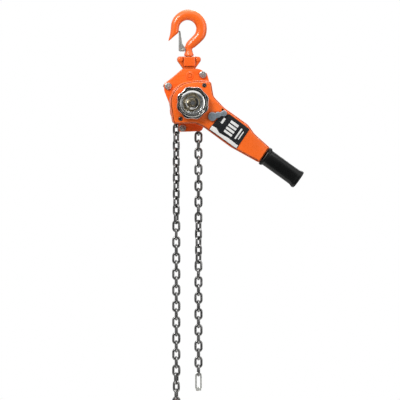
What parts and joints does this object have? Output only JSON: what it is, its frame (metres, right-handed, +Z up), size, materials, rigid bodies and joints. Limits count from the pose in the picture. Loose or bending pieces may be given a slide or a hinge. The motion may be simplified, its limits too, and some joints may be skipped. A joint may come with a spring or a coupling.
{
  "type": "lever chain hoist",
  "caption": "Hand lever hoist with a swivelling top hook, ratchet lever, chromed free-wheel, load chain falls and a bottom hook, all hanging from the top hook.",
  "frame": {"origin": "the seat of the top hook's bowl, where a beam clamp or shackle bears", "axes": "+Z up along the hook's shank, -Y towards the hand wheel and lever, +X towards the lever's grip"},
  "size_m": [0.4259, 0.1755, 1.3775],
  "materials": {
    "orange_paint": "semi-gloss orange paint",
    "chrome_plate": "bright chrome plate",
    "zinc_plate": "zinc-plated steel",
    "chain_steel": "dark blackened alloy steel, lightly oiled",
    "gear_steel": "machined steel",
    "bearing_bronze": "dull bronze",
    "friction_lining": "moulded brake lining",
    "black_rubber": "matt moulded rubber",
    "capacity_label": "black printed plate with plain blocks"
  },
  "bodies": {
    "top_hook": {"top_hook": "orange_paint", "top_latch_pin": "zinc_plate", "top_latch_spring": "zinc_plate"},
    "top_latch": {"top_latch": "zinc_plate"},
    "top_yoke": {"top_yoke_front": "orange_paint", "top_yoke_rear": "orange_paint", "top_rivet_left": "orange_paint", "top_rivet_right": "orange_paint", "top_pin": "orange_paint"},
    "frame": {"ratchet_side_plate": "orange_paint", "gear_side_plate": "orange_paint", "stay_bolt_left": "zinc_plate", "stay_bolt_right": "zinc_plate", "stay_bolt_lower": "zinc_plate", "stay_nut_left": "zinc_plate", "stay_nut_right": "zinc_plate", "stay_nut_lower": "zinc_plate", "chain_stripper": "gear_steel", "gear_case": "orange_paint", "gear_case_screw_1": "zinc_plate", "gear_case_screw_2": "zinc_plate", "brake_cover": "orange_paint", "sheave_bearing_front": "bearing_bronze", "sheave_bearing_rear": "bearing_bronze", "chain_over_sheave": "chain_steel"},
    "drive": {"drive_shaft": "gear_steel", "brake_hub": "gear_steel", "friction_disc_inner": "friction_lining", "friction_disc_outer": "friction_lining", "change_gear": "gear_steel", "hand_wheel": "chrome_plate", "shaft_nut": "bearing_bronze"},
    "disc_gear_upper": {"disc_gear_upper": "gear_steel"},
    "disc_gear_lower": {"disc_gear_lower": "gear_steel"},
    "sheave": {"load_sheave": "gear_steel", "load_gear": "gear_steel"},
    "ratchet": {"ratchet_disc": "gear_steel"},
    "pawl_upper": {"pawl_upper": "gear_steel"},
    "pawl_lower": {"pawl_lower": "gear_steel"},
    "lever": {"lever_housing_rear": "orange_paint", "lever_housing_front": "orange_paint", "housing_screw_upper": "chain_steel", "housing_screw_lower": "chain_steel", "lever_grip": "black_rubber", "capacity_plate": "capacity_label"},
    "selector": {"selector_lever": "zinc_plate", "selector_pawl": "gear_steel"},
    "load_upper": {"load_chain_upper": "chain_steel"},
    "load_lower": {"load_chain_lower": "chain_steel"},
    "bottom_yoke": {"bottom_yoke_front": "orange_paint", "bottom_yoke_rear": "orange_paint", "bottom_rivet_left": "orange_paint", "bottom_rivet_right": "orange_paint", "bottom_chain_pin": "gear_steel"},
    "bottom_hook": {"bottom_hook": "orange_paint", "bottom_latch_pin": "zinc_plate"},
    "bottom_latch": {"bottom_latch": "zinc_plate"},
    "tail_upper": {"tail_chain_upper": "chain_steel"},
    "tail_lower": {"tail_chain_lower": "chain_steel"},
    "tail_ring": {"tail_end_ring": "zinc_plate"}
  },
  "joints": [
    {"name": "top_latch_hinge", "type": "hinge", "parent": "top_hook", "child": "top_latch", "pos_m": [-0.0193, 0, -0.088], "axis": [0, 1, 0], "range_deg": [0, 20], "stiffness_Nm_per_rad": 0.05, "springref_deg": -22.92},
    {"name": "top_swivel", "type": "hinge", "parent": "top_hook", "child": "top_yoke", "pos_m": [0, 0, -0.125], "axis": [0, 0, 1], "continuous": true},
    {"name": "frame_tilt", "type": "hinge", "parent": "top_yoke", "child": "frame", "pos_m": [0, 0, -0.165], "axis": [0, 1, 0], "range_deg": [-20, 20]},
    {"name": "drive_spin", "type": "hinge", "parent": "frame", "child": "drive", "pos_m": [-0.0046, 0, -0.242], "axis": [0, 1, 0], "continuous": true},
    {"name": "disc_gear_upper_spin", "type": "hinge", "parent": "frame", "child": "disc_gear_upper", "pos_m": [0.00566, 0, -0.21381], "axis": [0, 1, 0], "continuous": true},
    {"name": "disc_gear_lower_spin", "type": "hinge", "parent": "frame", "child": "disc_gear_lower", "pos_m": [-0.01486, 0, -0.27019], "axis": [0, 1, 0], "continuous": true},
    {"name": "sheave_spin", "type": "hinge", "parent": "frame", "child": "sheave", "pos_m": [-0.0046, 0, -0.242], "axis": [0, 1, 0], "continuous": true},
    {"name": "ratchet_spin", "type": "hinge", "parent": "frame", "child": "ratchet", "pos_m": [-0.0046, 0, -0.242], "axis": [0, 1, 0], "continuous": true},
    {"name": "pawl_upper_hinge", "type": "hinge", "parent": "frame", "child": "pawl_upper", "pos_m": [-0.02146, 0, -0.20028], "axis": [0, 1, 0], "range_deg": [-12, 0], "stiffness_Nm_per_rad": 0.05, "springref_deg": 22.92},
    {"name": "pawl_lower_hinge", "type": "hinge", "parent": "frame", "child": "pawl_lower", "pos_m": [0.01226, 0, -0.28372], "axis": [0, 1, 0], "range_deg": [-12, 0], "stiffness_Nm_per_rad": 0.05, "springref_deg": 22.92},
    {"name": "lever_swing", "type": "hinge", "parent": "frame", "child": "lever", "pos_m": [-0.0046, 0, -0.242], "axis": [0, 1, 0], "continuous": true},
    {"name": "selector_turn", "type": "hinge", "parent": "lever", "child": "selector", "pos_m": [0.07376, 0, -0.27861], "axis": [0, 1, 0], "range_deg": [-22, 22]},
    {"name": "load_fall_sway", "type": "hinge", "parent": "frame", "child": "load_upper", "pos_m": [-0.038, 0, -0.3376], "axis": [0, 1, 0], "range_deg": [0, 15]},
    {"name": "load_fall_swing", "type": "hinge", "parent": "load_upper", "child": "load_lower", "pos_m": [-0.038, 0, -0.7208], "axis": [1, 0, 0], "range_deg": [-15, 15]},
    {"name": "bottom_yoke_swing", "type": "hinge", "parent": "load_lower", "child": "bottom_yoke", "pos_m": [-0.038, 0, -1.1485], "axis": [0, 1, 0], "range_deg": [-40, 40]},
    {"name": "bottom_swivel", "type": "hinge", "parent": "bottom_yoke", "child": "bottom_hook", "pos_m": [-0.038, 0, -1.1885], "axis": [0, 0, 1], "continuous": true},
    {"name": "bottom_latch_hinge", "type": "hinge", "parent": "bottom_hook", "child": "bottom_latch", "pos_m": [-0.0187, 0, -1.2255], "axis": [0, 1, 0], "range_deg": [0, 20], "stiffness_Nm_per_rad": 0.05, "springref_deg": -22.92},
    {"name": "tail_fall_sway", "type": "hinge", "parent": "frame", "child": "tail_upper", "pos_m": [0.0288, 0, -0.3376], "axis": [0, 1, 0], "range_deg": [-15, 0]},
    {"name": "tail_fall_swing", "type": "hinge", "parent": "tail_upper", "child": "tail_lower", "pos_m": [0.0288, 0, -0.6968], "axis": [1, 0, 0], "range_deg": [-15, 15]},
    {"name": "tail_ring_swing", "type": "hinge", "parent": "tail_lower", "child": "tail_ring", "pos_m": [0.0288, 0, -1.05995], "axis": [0, 1, 0], "range_deg": [-40, 40]}
  ],
  "couplings": [
    {"joint": "disc_gear_upper_spin", "follows": "drive_spin", "ratio": -0.36364},
    {"joint": "disc_gear_lower_spin", "follows": "drive_spin", "ratio": -0.36364},
    {"joint": "sheave_spin", "follows": "drive_spin", "ratio": 0.15584}
  ]
}
